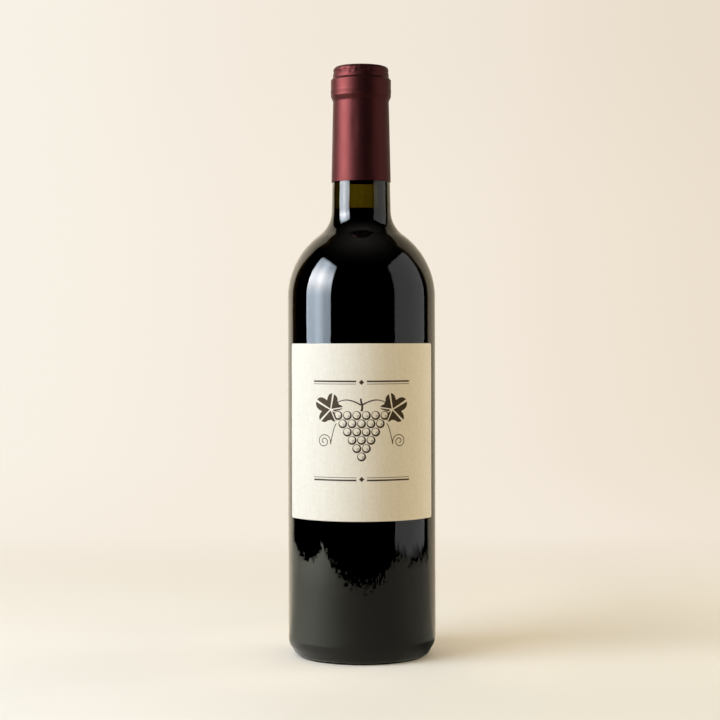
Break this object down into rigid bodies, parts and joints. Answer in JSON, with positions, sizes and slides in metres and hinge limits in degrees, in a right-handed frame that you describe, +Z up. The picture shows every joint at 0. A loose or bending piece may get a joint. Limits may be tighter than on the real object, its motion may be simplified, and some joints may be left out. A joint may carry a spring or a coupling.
{
  "type": "wine bottle",
  "caption": "Straight-sided dark glass wine bottle with red wine, a metal capsule over its mouth and a paper label on its front.",
  "frame": {"origin": "middle of the base, on the surface that the bottle stands on", "axes": "+Z up along the bottle's axis, -Y out of the middle of the label"},
  "size_m": [0.0752, 0.0758, 0.2993],
  "materials": {
    "bottle_glass": "gloss",
    "red_wine": "gloss",
    "capsule_foil": "satin",
    "label_paper": "matte"
  },
  "bodies": {
    "root": {"bottle_glass": "bottle_glass", "wine": "red_wine", "capsule": "capsule_foil", "label": "label_paper"}
  },
  "joints": []
}
